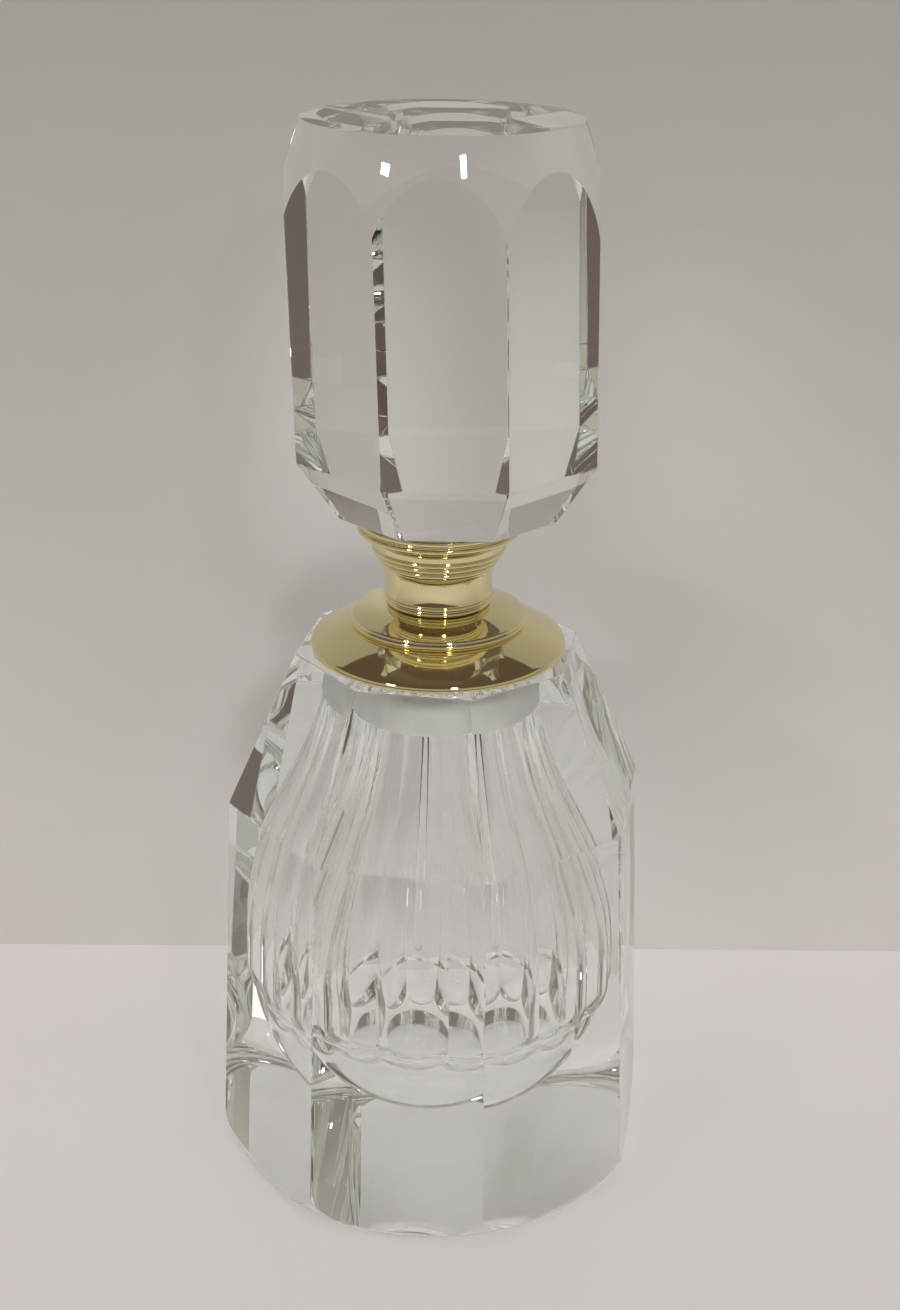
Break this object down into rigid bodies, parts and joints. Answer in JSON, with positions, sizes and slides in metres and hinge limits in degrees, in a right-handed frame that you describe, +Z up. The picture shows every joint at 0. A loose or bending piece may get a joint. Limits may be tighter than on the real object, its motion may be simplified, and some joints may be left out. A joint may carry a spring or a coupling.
{
  "type": "perfume bottle",
  "caption": "Faceted crystal perfume bottle with a fluted hollow, a gilt domed collar and a screw-down crystal stopper that carries a glass dauber rod.",
  "frame": {"origin": "centre of the base, on the table the bottle stands on", "axes": "+Z up along the axis of the neck, stopper and dauber; one flat of the octagonal body faces -Y and the others follow every 45 degrees"},
  "size_m": [0.0642, 0.0642, 0.1613],
  "materials": {
    "crystal": "cut and polished lead crystal, very slight grey-green in the thick",
    "rod_glass": "fire-polished clear glass rod",
    "gilt": "polished gold plate",
    "raw_brass": "turned brass",
    "frosted_cement": "cement showing through the ground neck",
    "clear_cement": "clear set adhesive",
    "washer": "soft white sealing plastic",
    "plug_plastic": "white moulded plastic"
  },
  "bodies": {
    "bottle": {"bottle_body": "crystal", "neck_cement": "frosted_cement", "neck_collar": "gilt", "neck_thread": "raw_brass"},
    "seal": {"seal_washer": "washer"},
    "stopper": {"stopper_cap": "gilt", "cap_liner": "raw_brass", "dauber_plug": "plug_plastic", "dauber_rod": "rod_glass", "stopper_cement": "clear_cement", "stopper_crystal": "crystal"}
  },
  "joints": [
    {"name": "stopper_lift", "type": "slide", "parent": "bottle", "child": "seal", "axis": [0, 0, 1], "range_m": [0, 0.09]},
    {"name": "stopper_turn", "type": "hinge", "parent": "seal", "child": "stopper", "pos_m": [0, 0, 0.09], "axis": [0, 0, 1], "range_deg": [0, 540]}
  ]
}
